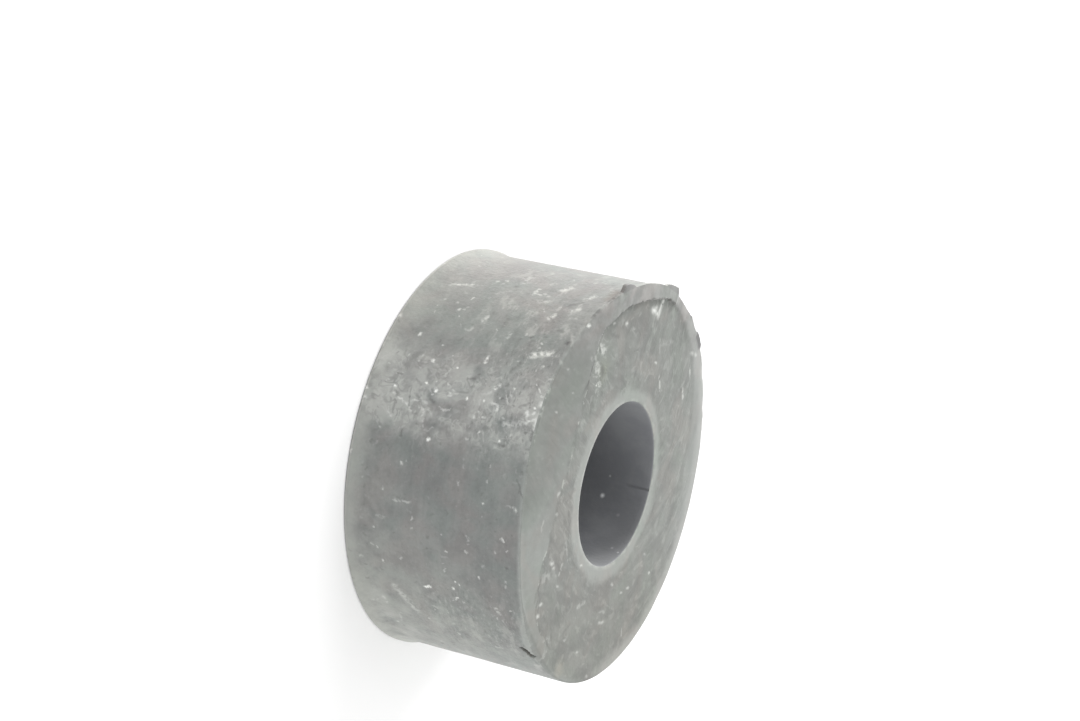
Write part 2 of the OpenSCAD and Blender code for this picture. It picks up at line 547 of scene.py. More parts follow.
# Paints shade on the torn flaps of the fin, which start near the wall's radius
def shadeTornFlaps(sheet, p, colour):
    flat = p.stretch(1, 1, 0)
    torn = stored(sheet, "torn")
    far = flat.vector("LENGTH", flat, out="Value") + p.cloud(2.0, 2.0) * 0.12
    flapShade = (far + torn * 0.75).between(outerR + 0.5, outerR + 0.6)
    colour = (flapShade * 0.4).blend(colour, grey(0.12, 1.06, 1.04))
    # One flap is bent down and gets a deeper painted shadow
    bentFlapShadow = torn.between(0.8, 0.95) * far.between(outerR - 0.1, outerR + 0.05)
    return (bentFlapShadow * 0.8).blend(colour, grey(0.06))


def onWall(turn, z):
    return math.radians(turn - 270) * outerR, z


def grey(tone, red=1.0, blue=1.0):
    return (tone * red, tone, tone * blue, 1)


def rubberShader(sheet, colour, rough, height, bumpDistance):
    bump = sheet.node("ShaderNodeBump", None,
                      {"Strength": 1.0, "Distance": bumpDistance * mm, "Height": height})
    shader = sheet.node("ShaderNodeBsdfPrincipled", None, {
        "Base Color": colour, "Roughness": rough, "Normal": bump, "Specular IOR Level": 0.35,
        "Sheen Weight": 0.3, "Sheen Roughness": 0.45, "Sheen Tint": (1, 1, 1, 1)})
    sheet.node("ShaderNodeOutputMaterial", None, {"Surface": shader})


# Rubber of the wall: linear colours, and marks as (direction, height, ...) in degrees and mm
wallLook = {
    "rubber": grey(0.173, 0.97, 0.985),
    "pale": grey(0.247, 0.96, 0.96),
    "dust": grey(0.42, 0.975, 0.93),
    "scuff": grey(0.48, 0.985, 0.95),
    "speck": grey(0.88, 0.99, 0.97),
    "grime": grey(0.085, 1.0, 0.97),
    "smudge": grey(0.15, 1.1, 0.9),
    # edge colour is partly painted light on the wall's rim
    "edge": grey(0.33, 0.95, 0.95),
    "green": (0.96, 1.0, 0.99, 1),
    "brown": (1.045, 1.0, 1.0, 1),
}
wallSpecks = [
    # scuffed strip, rear half then front half
    (255, 1.8, 0.13, 0.95), (252, 3.75, 0.15, 0.95), (253.5, 4.5, 0.22, 1.0), (245.5, 3.6, 0.16, 0.75),
    (246.5, 2.7, 0.13, 0.45), (245, 1.9, 0.12, 0.4), (249, 0.9, 0.11, 0.4), (266.5, 1.6, 0.11, 0.35),
    (257, 0.15, 0.2, 0.8), (259.5, 0.25, 0.18, 0.6), (234.5, 0.2, 0.2, 0.7), (244, 0.1, 0.14, 0.4),
    (251, 4.3, 0.11, 0.5), (253.5, 1.2, 0.13, 0.35), (255, 4.35, 0.13, 0.45), (246, 5.3, 0.13, 0.9),
    (254, 6.6, 0.15, 0.95), (253.5, 7.7, 0.12, 0.75), (248.5, 9.3, 0.11, 0.6), (252, 8.6, 0.11, 0.5),
    (256.5, 7.6, 0.12, 0.45), (258.5, 7.4, 0.15, 0.5), (262, 8.0, 0.12, 0.65), (263, 9.4, 0.14, 0.85),
    (261, 10.0, 0.12, 0.4), (264.5, 7.3, 0.13, 0.4), (257, 9.2, 0.16, 0.4), (252.5, 10.9, 0.14, 0.85),
    (254, 11.0, 0.16, 0.6), (251, 11.25, 0.24, 0.5), (255, 11.5, 0.15, 0.5), (233.5, 9.6, 0.13, 0.7),
    (235, 9.6, 0.11, 0.45), (240.5, 10.4, 0.13, 0.6), (242, 10.1, 0.11, 0.4), (240.5, 8.8, 0.1, 0.4),
    # upper wall
    (217.5, 2.15, 0.17, 0.8), (216.5, 2.6, 0.17, 0.75), (216, 2.95, 0.16, 0.7), (209.5, 0.2, 0.14, 0.4),
    (224.5, 2.1, 0.14, 0.4), (225, 3.0, 0.15, 0.5), (227.5, 3.4, 0.16, 0.7), (226, 3.8, 0.14, 0.3),
    (240.5, 3.7, 0.13, 0.6), (238.5, 1.95, 0.18, 0.8), (212, 4.2, 0.18, 0.5), (214.5, 8.0, 0.18, 0.45),
    (231.5, 8.4, 0.13, 0.45), (221.5, 8.5, 0.15, 0.4),
    # low side
    (266.8, 4.9, 0.18, 1.0), (274.5, 3.5, 0.14, 0.55), (282.5, 2.45, 0.14, 0.45), (294, 1.95, 0.13, 0.5),
    (304, 2.5, 0.13, 0.6), (280, 9.15, 0.13, 0.75), (296, 6.9, 0.12, 0.55), (291.5, 6.6, 0.1, 0.35),
    (307.5, 7.2, 0.15, 1.0), (301.5, 9.05, 0.13, 0.6), (302.5, 6.7, 0.14, 0.4), (311.5, 7.7, 0.1, 0.35),
    (318.5, 1.9, 0.24, 0.35), (330, 2.1, 0.16, 0.45), (323, 4.8, 0.13, 0.45), (327, 6.6, 0.16, 0.45),
    (274.5, 0.1, 0.2, 0.6),
]
wallStrokes = [
    # scuffed strip, rear half then front half
    (0.11, 0.5, (257, 1.9), (258, 2.6), (259.5, 3.1)), (0.1, 0.4, (261, 1.8), (262.5, 2.0), (263, 2.2)),
    (0.1, 0.25, (250.5, 1.2), (250.5, 1.7), (250.5, 2.1)),
    (0.1, 0.25, (253, 1.8), (252, 1.9), (251.5, 2.1)), (0.09, 0.25, (255, 3.4), (253.5, 3.5)),
    (0.1, 0.3, (253.5, 4.1), (255, 4.3)), (0.1, 0.35, (256.5, 3.7), (257, 4.0), (259, 4.4), (260, 4.7)),
    (0.1, 0.45, (258, 3.2), (257.5, 3.3), (257.5, 3.6)), (0.1, 0.45, (259.5, 3.1), (260.5, 3.3)),
    (0.1, 0.45, (259, 3.8), (259.5, 4.1)), (0.1, 0.45, (261.5, 4.1), (260, 4.2)),
    (0.09, 0.3, (262, 4.3), (264.5, 4.4), (264.5, 4.8), (263.5, 5.0)), (0.09, 0.35, (249, 4.7), (247, 4.9)),
    (0.09, 0.45, (250.5, 4.9), (252, 5.3)), (0.1, 0.5, (253.5, 5.4), (253.5, 5.9)),
    (0.1, 0.45, (258, 5.1), (258.5, 5.4), (257.5, 5.9)), (0.16, 0.2, (260, 5.0), (261, 5.3)),
    (0.13, 0.8, (243, 6.8), (241, 6.9)), (0.12, 0.7, (249.5, 8.1), (248.5, 8.3)),
    (0.14, 0.6, (253.5, 8.2), (254, 8.6), (255.5, 8.6)), (0.09, 0.3, (253, 7.4), (255, 7.5)),
    (0.1, 0.3, (252, 7.7), (250.5, 8.0), (250.5, 8.3)), (0.1, 0.4, (250, 8.8), (253, 9.2)),
    (0.09, 0.4, (249.5, 9.1), (251.5, 9.3)), (0.1, 0.5, (258, 7.8), (258, 8.1)),
    (0.3, 0.4, (258.5, 9.4), (258, 10.1), (257, 10.5)), (0.2, 0.65, (254, 10.5), (255, 10.7), (256, 10.9)),
    (0.2, 0.55, (257, 10.7), (256, 11.0), (255.5, 11.2)), (0.24, 0.6, (256, 11.35), (258.5, 11.4)),
    (0.07, 0.6, (246, 10.5), (247.5, 10.8), (249, 11.0), (249, 11.3)),
    (0.26, 0.7, (238, 9.4), (237, 9.8), (236, 10.5)),
    # upper wall
    (0.26, 0.45, (218, 1.7), (216, 3.1)), (0.2, 0.6, (229.5, 5.3), (228, 5.4)),
    (0.18, 0.4, (234, 4.8), (233, 4.9)), (0.18, 0.4, (233.5, 7.4), (232, 7.4)),
    (0.3, 0.5, (210, 5.8), (206, 5.8)), (0.24, 0.25, (218, 4.9), (215, 5.6)),
    (0.24, 0.6, (214.5, 7.0), (212, 7.0)), (0.24, 0.5, (214.5, 7.3), (214, 7.7)),
    (0.22, 0.4, (218, 7.7), (217, 8.3)), (0.27, 0.6, (210, 8.4), (207.5, 8.7)),
    (0.24, 0.6, (212, 10.3), (210, 10.5)), (0.22, 0.5, (219.5, 9.9), (218, 10.4)),
    (0.22, 0.6, (224, 9.1), (222, 9.3)), (0.18, 0.3, (222.5, 10.3), (222, 10.7)),
    (0.18, 0.3, (227.5, 8.5), (227, 9.0)),
    # low side
    (0.32, 0.4, (312.5, 3.0), (316, 3.5), (320.5, 4.1)), (0.24, 0.4, (317, 3.6), (320.5, 4.1)),
    (0.13, 1.0, (309.5, 5.25), (309, 5.6)), (0.11, 0.95, (305, 7.4), (305.5, 7.6)),
    (0.11, 0.7, (311.5, 7.0), (310.5, 7.4)), (0.11, 0.4, (311, 9.9), (312.5, 10.2), (314.5, 9.9)),
    (0.11, 0.45, (329, 9.0), (328.5, 9.5)), (0.1, 0.45, (300.5, 10.8), (302.5, 10.8)),
    (0.14, 0.3, (324.5, 2.7), (328.5, 2.5)), (0.11, 0.4, (284.5, 3.1), (285, 3.5), (284.5, 4.4)),
    (0.1, 0.25, (290.5, 2.15), (290.5, 2.8)), (0.11, 0.5, (299.5, 1.75), (300, 2.15)),
    (0.13, 0.6, (279, 10.9), (279.5, 11.2), (280.5, 11.3)), (0.11, 0.7, (288, 10.5), (289, 10.65)),
    (0.1, 0.3, (289.5, 8.2), (292, 8.4)),
]
wallPatches = [
    (254.5, 5.0, 0.6, 0.4), (257, 4.0, 0.45, 0.3), (318, 1.6, 1.0, 0.4), (327, 1.6, 1.3, 0.4),
    (317, 5.9, 0.4, 0.3), (322, 3.2, 0.8, 0.25), (334, 3.0, 1.2, 0.35), (248, 11.0, 0.5, 0.3),
    (252.5, 8.0, 0.9, 0.4), (255, 11.1, 0.6, 0.5), (237.8, 9.6, 0.3, 0.6), (237, 10.0, 0.3, 0.6),
    (236.3, 10.4, 0.3, 0.6), (335, 11.4, 0.35, 0.6),
]
wallPits = [
    (231.5, 11.1, 0.26, 0.9), (338.5, 4.5, 0.2, 0.8), (257, 3.0, 0.11, 0.5), (263.5, 3.9, 0.13, 0.45),
    (246.5, 6.8, 0.11, 0.5), (246.5, 7.5, 0.1, 0.4), (244, 9.3, 0.13, 0.5), (248, 8.8, 0.17, 0.45),
    (252, 8.8, 0.11, 0.55), (249.5, 9.7, 0.11, 0.5), (253, 9.6, 0.11, 0.45), (259, 9.2, 0.1, 0.4),
    (259.5, 10.9, 0.13, 0.6), (260, 7.4, 0.12, 0.35), (240, 10.7, 0.1, 0.4), (213, 5.6, 0.2, 0.5),
    (232, 8.8, 0.16, 0.7), (231, 9.6, 0.14, 0.5), (296.5, 10.9, 0.13, 0.5), (311.5, 9.4, 0.2, 0.4),
    (317, 10.8, 0.3, 0.35),
]
wallScores = [
    (0.1, 0.35, (251, 1.7), (251.5, 2.1)), (0.1, 0.3, (256, 1.9), (257, 2.3)),
    (0.1, 0.35, (258.5, 2.1), (262, 2.2)), (0.1, 0.3, (261, 3.5), (261, 3.8)),
    (0.11, 0.45, (266, 3.1), (267.5, 3.1)), (0.1, 0.3, (251.5, 3.0), (253, 3.4)),
    (0.11, 0.35, (256.5, 4.3), (257, 4.6)), (0.1, 0.35, (248.5, 6.2), (248, 6.6)),
    (0.16, 0.35, (244, 8.6), (241, 9.0)), (0.11, 0.35, (253, 10.0), (252, 10.4)),
    (0.14, 0.55, (258.5, 11.25), (261, 11.35)), (0.1, 0.45, (264, 9.4), (264, 9.8)),
    (0.14, 0.5, (217, 9.7), (214.5, 10.2)), (0.07, 0.4, (272, 11.0), (276.5, 11.6)),
    (0.14, 0.4, (228, 10.1), (228, 10.4)),
]


def wallRubber():
    material, sheet = newMaterial("wall_rubber")
    p = places(sheet)
    flat, around, z = unroll(p, outerR)
    shaken = jitter(flat, p, 0.45)
    look = wallLook
    # Mottled ground with streaks round the ring and a fine grain
    broad = p.cloud(0.16, 3.0, 0.5)
    mottle = p.cloud(0.7, 6.0, 0.62)
    streak = p.stretch(0.14, 0.14, 1.9).cloud(1.0, 5.0, 0.62)
    grain = p.cloud(4.2, 3.0, 0.65)
    drift = p.cloud(0.33, 2.0, 0.5, 1.0)
    tone = broad * 0.35 + mottle * 0.4 + streak * 0.25
    colour = tone.between(0.34, 0.66).blend(look["rubber"], look["pale"])
    colour = drift.between(0.51, 0.63).tint(colour, look["green"])
    colour = drift.between(0.49, 0.37).tint(colour, look["brown"])
    colour = (grain.between(0.52, 0.8) * 0.18).blend(colour, look["dust"])
    colour = (grain.between(0.48, 0.25) * 0.2).blend(colour, look["grime"])
    # Paler towards the rear, and dust on the low side
    x, y = p.node("ShaderNodeSeparateXYZ", None, {0: p}, (0, 1))
    settled = z.between(4.5, 0.3) * 0.32 + x.between(3.0, 12.5) * z.between(13.0, 6.0) * 0.4
    settled = settled + x.between(11.0, 12.6) * z.between(8.0, 4.0) * 0.45
    settled = settled * (mottle.between(0.3, 0.62) * 0.75 + 0.22)
    colour = settled.blend(colour, look["dust"])
    # Painted light: the lip and its bottom edge are made paler against the floor's contact shadow
    lip = z.between(1.3, 0.2) * (x.between(-8.0, -4.0) * 0.3 + 0.25)
    colour = lip.blend(colour, look["dust"])
    colour = (z.between(0.26, 0.1) * x.between(9.0, 5.0) * 0.6).blend(colour, look["scuff"])
    # Scuffed strip across the wall: hair lines at the rear, fine crumbs at the front
    strip = abs(around + 0.27).between(0.29, 0.1) * p.cloud(0.45, 3.0, 0.6).between(0.26, 0.44)
    scuffed = mottle.between(0.36, 0.6) * 0.26 + z.between(8.0, 4.0) * 0.12 + 0.2
    colour = (strip * scuffed).blend(colour, look["scuff"])
    curls = p.hairs(1.5, 1.0, 0.08) * p.cloud(0.9, 2.0).between(0.42, 0.58)
    colour = (curls * (strip * 0.32 + 0.04)).blend(colour, look["scuff"])
    shadows = p.stretch(1, 1, 1.2).hairs(1.05, 1.2, 0.09) * p.cloud(1.1, 2.0).between(0.55, 0.42)
    colour = (shadows * (strip * 0.22 + 0.03)).blend(colour, look["grime"])
    crumbs = flat.stretch(1.9, 3.4, 1).cloud(1.1, 4.0, 0.7)
    front = z.between(6.0, 8.5) * abs(around + 0.36).between(0.45, 0.15)
    front = front.most(z.between(2.5, 7.0) * abs(around - 0.88).between(0.4, 0.12) * 0.8)
    colour = (crumbs.between(0.53, 0.68) * front * 0.42).blend(colour, look["scuff"])
    colour = (crumbs.between(0.45, 0.32) * front * 0.42).blend(colour, look["grime"])
    # Paler where the smooth band turns onto the wall: partly the band's own rubber, partly painted light
    # against the wall's darker shading
    turnedIn = stored(sheet, "smoothBand") * (x.between(-3.0, 3.0) * 0.6 + 0.2)
    turnedIn = turnedIn.most(stored(sheet, "rim").between(0.6, 0.9) * y.between(-5.0, -1.0) * 0.8)
    colour = turnedIn.blend(colour, look["edge"])
    # Crumbs smeared along the upper wall and the low side, and bits torn along the front edge
    smears = flat.stretch(0.55, 1.1, 1).cloud(1.1, 4.0, 0.6)
    smeared = x.between(-4.5, -8.0) * z.between(2.5, 7.0)
    smeared = smeared.most(x.between(6.5, 9.0) * z.between(2.5, 6.0) * 0.9)
    colour = (smears.between(0.53, 0.66) * smeared * 0.32).blend(colour, look["scuff"])
    colour = (smears.between(0.44, 0.34) * smeared * 0.24).blend(colour, look["grime"])
    bits = p.cloud(1.7, 3.0, 0.6)
    rim = stored(sheet, "rim").between(0.35, 0.9) * (1 - abs(x + 2.5).between(2.0, 6.0) * 0.7)
    colour = (bits.between(0.53, 0.63) * rim * 0.5).blend(colour, look["scuff"])
    colour = (bits.between(0.44, 0.34) * rim * 0.22).blend(colour, look["grime"])
    # Scattered lint in drifts, then the marks that can be picked out one by one
    drifts = p.cloud(0.4, 2.0).between(0.4, 0.66)
    colour = (shaken.flecks(1.1, 0.2, 0.28, 0.5, 0.0, 6.28) * drifts * 0.36).blend(colour, look["speck"])
    colour = (shaken.flecks(0.75, 0.17, 0.5, 0.45, 1.57, 2.4) * drifts * 0.2).blend(colour, look["speck"])
    colour = (shaken.flecks(0.9, 0.22, 0.34, 0.6, 0.0, 6.28) * 0.35).blend(colour, look["grime"])
    ragged = jitter(flat, p.stretch(0.6, 0.6, 0.6), 0.6)
    pale = ragged.specks([(*onWall(t, h), r, s) for t, h, r, s in wallPatches])
    smudge = ragged.specks([(*onWall(t, 11.5), 0.55, 0.85) for t in (205, 207, 209.5)])
    colour = smudge.blend(colour, look["smudge"])
    colour = (pale * (mottle.between(0.3, 0.55) * 0.8 + 0.3)).blend(colour, look["scuff"])
    pits = shaken.specks([(*onWall(t, h), r, s) for t, h, r, s in wallPits])
    scores = shaken.strokes([(half, s, *[onWall(*at) for at in points]) for half, s, *points in wallScores])
    colour = pits.most(scores).blend(colour, look["grime"])
    marks = shaken.specks([(*onWall(t, h), r, s) for t, h, r, s in wallSpecks])
    lint = shaken.strokes([(half, s, *[onWall(*at) for at in points]) for half, s, *points in wallStrokes])
    lint = lint ** 1.4 * p.cloud(4.5, 3.0).between(0.36, 0.6)
    lit = 1 - x.between(-5.0, -8.5) * 0.35
    colour = ((marks ** 1.3).most(lint) * lit).blend(colour, look["speck"])
    colour = shadeTornFlaps(sheet, p, colour)
    # Painted shade in the creases, under the fin and in the nick
    colour = stored(sheet, "crease").blend(colour, grey(0.02))
    colour = x.between(-3.0, -10.0).tint(colour, (1.01, 0.985, 0.955, 1))
    colour = x.between(4.0, 10.0).tint(colour, (1.0, 1.0, 0.985, 1))
    rubberShader(sheet, colour, 0.55 + mottle * 0.2, grain * 0.6 + mottle * 0.4, 0.05)
    return material


# Rubber of the two end faces; marks as (x, y, ...) in mm
faceLook = {
    "rubber": grey(0.139, 0.95, 0.915),
    "pale": grey(0.206, 0.95, 0.91),
    "band": grey(0.171, 0.945, 0.925),
    "bandPale": grey(0.231, 0.94, 0.92),
    "skin": grey(0.185, 0.985, 0.945),
    "skinPale": grey(0.252, 0.985, 0.95),
    # colour of the painted highlight on the rounded rim
    "rim": grey(0.32, 0.985, 0.95),
    "corner": grey(0.29, 0.95, 0.95),
    "mouth": grey(0.258, 0.95, 0.925),
    "chalk": grey(0.48, 0.955, 0.92),
    "speck": grey(0.88, 0.98, 0.95),
    "grime": grey(0.08, 0.99, 0.93),
    "stain": grey(0.3, 1.1, 0.82),
    "olive": (0.95, 0.96, 0.84, 1),
    "green": (0.965, 1.0, 0.975, 1),
    "brown": (1.045, 1.0, 0.995, 1),
}
faceSpecks = [
    (-10.9, 0.0, 0.36, 0.85), (-10.75, 0.6, 0.26, 0.7), (-11.1, 0.2, 0.25, 0.6), (-9.0, -8.4, 0.18, 0.8),
    (-6.3, -9.8, 0.14, 0.35), (-5.0, -8.9, 0.14, 0.35), (-9.5, -5.4, 0.16, 0.5), (-9.7, -3.7, 0.18, 0.65),
    (-9.5, -2.5, 0.17, 0.35), (-7.8, 1.9, 0.15, 0.6), (-8.9, 7.3, 0.22, 0.5), (-8.9, 7.9, 0.22, 0.5),
    (-3.75, -10.35, 0.14, 0.45), (5.1, -2.9, 0.15, 0.6), (6.4, -5.7, 0.16, 0.5), (6.3, 2.3, 0.18, 0.5),
    (6.8, 4.0, 0.17, 0.5), (6.5, 4.9, 0.2, 0.55), (5.5, 7.9, 0.16, 0.6), (4.3, 6.5, 0.17, 0.4),
    (2.1, -7.9, 0.18, 0.4), (10.5, -0.9, 0.17, 0.5), (9.7, -3.1, 0.16, 0.4), (12.1, 1.3, 0.2, 0.4),
    (7.5, -7.5, 0.2, 0.6), (8.2, -7.6, 0.2, 0.6), (5.0, -7.2, 0.24, 0.6), (5.3, -6.8, 0.18, 0.5),
]
# Chalky torn bits along the edge of the ground part
faceBits = [
    (-8.2, -6.6, 0.3, 0.3), (-7.8, -6.5, 0.34, 0.4), (-7.8, -6.0, 0.26, 0.35), (-7.3, -7.2, 0.3, 0.25),
    (-6.9, -6.7, 0.34, 0.35), (-6.5, -6.5, 0.34, 0.35), (-6.2, -6.2, 0.26, 0.35), (-5.8, -5.8, 0.22, 0.4),
    (-5.3, -5.9, 0.22, 0.25), (-8.1, -6.7, 0.18, 0.5), (-7.7, -6.3, 0.2, 0.5), (-5.7, -6.1, 0.16, 0.6),
    (5.8, -7.5, 0.45, 0.2), (9.6, -5.6, 0.3, 0.2), (11.2, -5.9, 0.3, 0.35),
]
faceStrokes = [
    (0.3, 0.65, (-11.6, 1.1), (-11.2, 0.9), (-10.65, 0.8)),
    (0.22, 0.2, (-8.9, 1.9), (-9.1, 2.8), (-9.3, 3.9)), (0.2, 0.25, (-9.2, 1.8), (-8.5, 2.2)),
    (0.16, 0.5, (-7.0, 2.9), (-6.2, 3.4)), (0.16, 0.5, (-8.0, 7.5), (-7.5, 7.8)),
    (0.18, 0.55, (-6.5, 7.1), (-6.0, 7.4)), (0.2, 0.35, (7.4, -1.3), (7.7, -2.2)),
    (0.14, 0.3, (8.0, 1.2), (8.0, 2.0)), (0.14, 0.4, (8.7, 1.5), (8.7, 2.1)),
    (0.15, 0.3, (9.2, 5.3), (9.6, 5.5)), (0.16, 0.4, (0.8, -8.1), (1.0, -8.3)),
    (0.15, 0.3, (2.6, -9.5), (3.1, -9.5)), (0.15, 0.35, (5.1, -5.7), (5.7, -5.8)),
    (0.14, 0.25, (3.7, -5.85), (4.8, -5.05)),
]
faceGrime = [
    (0.13, 0.55, (6.0, -8.2), (6.6, -8.3), (7.2, -7.8), (7.9, -7.7)),
    (0.11, 0.4, (1.9, -6.3), (2.7, -5.9), (3.5, -5.6)), (0.18, 0.4, (-8.8, -5.3), (-8.8, -4.4)),
    (0.22, 0.4, (-6.7, -5.8), (-6.4, -5.6)), (0.2, 0.4, (-5.3, -5.1), (-5.1, -5.2)),
    (0.2, 0.3, (-7.1, -0.9), (-6.4, -0.9)), (0.16, 0.4, (-6.2, 3.3), (-6.0, 3.3)),
    (0.15, 0.4, (8.0, 3.5), (8.0, 3.8)), (0.16, 0.5, (5.5, 8.2), (5.5, 8.5)),
    (0.14, 0.35, (8.7, -2.8), (9.3, -3.5)), (0.15, 0.35, (9.4, -5.9), (9.9, -5.5)),
    (0.15, 0.45, (-4.6, -6.3), (-4.0, -6.2)),
]


def halfWay(marks):
    return [(x, y / 2, radius, strength) for x, y, radius, strength in marks]


def faceRubber():
    material, sheet = newMaterial("face_rubber")
    p = places(sheet)
    x, y, z = p.node("ShaderNodeSeparateXYZ", None, {0: p}, (0, 1, 2))
    front = z.between(1.0, 6.0)
    flat = p.stretch(1, 1, 0)
    far = flat.vector("LENGTH", flat, out="Value")
    shaken = jitter(flat, p, 0.35)
    torn = jitter(flat, p.stretch(1.0, 0.6, 1), 1.0)
    # The marks are smeared to twice their width along Y
    wide = shaken.stretch(1, 0.5, 1)
    look = faceLook
    band = stored(sheet, "smoothBand")
    mouth = (far + p.cloud(0.7, 2.0) * 1.0).between(6.9, 6.2)
    ground = (1 - band) * (1 - mouth)
    # Ground part: blotches, worn spots and short curls, with painted shade beside the curls
    turned = flat.node("ShaderNodeVectorRotate", {"rotation_type": "Z_AXIS"},
                       {"Vector": flat, "Angle": x * 0.06 - y * 0.045})
    rub = turned.stretch(1.2, 0.5, 1).cloud(1.0, 3.0, 0.55, 0.5)
    mottle = p.stretch(1, 0.6, 1).cloud(0.5, 4.0, 0.55)
    grain = p.stretch(1, 0.5, 1).cloud(2.8, 2.5, 0.55)
    drift = p.cloud(0.3, 2.0, 0.5, 1.0)
    tone = rub * 0.45 + mottle * 0.55
    colour = tone.between(0.34, 0.66).blend(look["rubber"], look["pale"])
    colour = x.between(-4.0, -7.0).tint(colour, (0.955, 0.955, 0.955, 1))
    marked = 1 - band * 0.85
    curls = turned.stretch(1.2, 0.5, 1).hairs(1.0, 0.8, 0.08) * p.cloud(1.1, 2.0).between(0.48, 0.62)
    colour = (curls * marked * 0.16).blend(colour, look["chalk"])
    curlShade = turned.stretch(1.2, 0.5, 3).hairs(0.95, 0.9, 0.08) * p.cloud(1.0, 2.0).between(0.48, 0.36)
    colour = (curlShade * marked * 0.22).blend(colour, look["grime"])
    colour = (wide.flecks(0.95, 0.28, 0.36, 0.5, 0.0, 6.28) * marked * 0.16).blend(colour, look["chalk"])
    colour = (wide.flecks(0.8, 0.26, 0.36, 0.5, 0.0, 6.28) * marked * 0.2).blend(colour, look["grime"])
    # Smooth parts: the sunken band, the skin, the ring at the bore, and a painted highlight on the rim
    blot = p.cloud(0.55, 4.0, 0.55)
    even = (blot.between(0.3, 0.7) * 0.5 + x.between(1.5, 4.5) * 0.7).blend(look["band"], look["bandPale"])
    peel = p.cloud(0.9, 4.0, 0.6).between(0.34, 0.66).blend(look["skin"], look["skinPale"])
    even = x.between(-6.5, -8.5).blend(even, peel)
    faint = x.between(-7.5, -5.5) * x.between(3.0, 1.0)
    colour = (band * (1 - faint * 0.55)).blend(colour, even)
    colour = mouth.blend(colour, look["mouth"])
    # Painted highlight in patches round the rounded edge of the bore's mouth
    roundedEdge = (far + p.cloud(1.2, 2.0) * 0.25).between(5.62, 5.35)
    colour = (roundedEdge * p.cloud(1.5, 2.0).between(0.35, 0.6) * 0.35).blend(colour, look["chalk"])
    # Painted highlight along the rounded rim
    rimHighlight = (far + p.cloud(0.6, 3.0) * 0.7).between(11.5, 12.6)
    rimHighlight = rimHighlight * y.between(0.5, 5.0) * x.between(-10.0, -7.5)
    colour = (rimHighlight * front).blend(colour, look["rim"])
    colour = drift.between(0.51, 0.63).tint(colour, look["green"])
    colour = drift.between(0.49, 0.37).tint(colour, look["brown"])
    colour = x.between(4.5, 9.5).tint(colour, (0.91, 0.89, 0.87, 1))
    colour = (x.between(2.5, 6.0) * y.between(0.0, 5.0)).tint(colour, (0.93, 0.925, 0.91, 1))
    colour = (grain.between(0.52, 0.8) * 0.1).blend(colour, look["chalk"])
    colour = (grain.between(0.48, 0.25) * 0.12).blend(colour, look["grime"])
    # Torn bits along the edge of the ground part and the front edge, then single marks
    border = abs(band - 0.5).between(0.5, 0.2) * y.between(-4.5, -6.0)
    side = y.between(2.0, -3.0)
    rim = stored(sheet, "rim").between(0.35, 0.9) * side * (1 - abs(x + 2.5).between(2.0, 6.0) * 0.7)
    bits = p.cloud(1.7, 3.0, 0.6)
    edges = border.most(rim)
    corner = stored(sheet, "rim").between(0.6, 0.95) * x.between(-10.0, -6.0) * 0.6
    corner = corner.most(stored(sheet, "rim").between(0.22, 0.9) * x.between(5.0, 8.0) * 0.6)
    outer = far.between(9.6, 11.4) * y.between(5.0, 9.0) * x.between(5.0, 1.0) * front * 0.4
    colour = outer.most(corner * side).blend(colour, look["corner"])
    colour = (edges * bits.between(0.53, 0.63) * 0.5).blend(colour, look["chalk"])
    colour = (edges * bits.between(0.45, 0.35) * 0.3).blend(colour, look["grime"])
    colour = (torn.specks([(11.5, -3.0, 0.8, 0.4)]) * front).blend(colour, look["stain"])
    colour = (torn.specks([(-6.6, -5.6, 1.0, 0.8)]) * front).tint(colour, look["olive"])
    chalk = torn.stretch(1, 0.5, 1).specks(halfWay(faceBits)) * p.cloud(2.6, 3.0).between(0.38, 0.58)
    colour = (chalk * front).blend(colour, look["speck"])
    colour = (shaken.strokes(faceGrime) * front).blend(colour, look["grime"])
    marks = shaken.strokes(faceStrokes) ** 1.5 * p.cloud(3.0, 3.0).between(0.3, 0.5)
    marks = marks.most(wide.specks(halfWay(faceSpecks)) ** 1.7)
    colour = (marks * front).blend(colour, look["speck"])
    colour = shadeTornFlaps(sheet, p, colour)
    # Painted shade along the skin's step and under the fin
    colour = (stored(sheet, "crease") * 0.9).blend(colour, grey(0.03))
    height = (rub * 0.6 + grain * 0.4) * (ground * 0.7 + 0.3)
    rubberShader(sheet, colour, 0.56 + mottle * 0.16, height, 0.05)
    return material


# Rubber of the bore; marks as (direction, height, radius, strength) in degrees and mm
boreLook = {
    "deep": grey(0.226, 0.975, 1.06),
    "pale": grey(0.268, 0.975, 1.04),
    "shade": grey(0.1, 0.98, 1.0),
    "speck": grey(0.95),
}
boreSpecks = [
    # The first dot, given twice at full strength, is a painted highlight
    (76.8, 8.72, 0.2, 1.0), (76.8, 8.72, 0.14, 1.0), (91.6, 8.9, 0.1, 0.4), (36.6, 10.95, 0.12, 0.2),
    (33.4, 11.5, 0.1, 0.3), (65.5, 10.2, 0.16, 0.12),
]


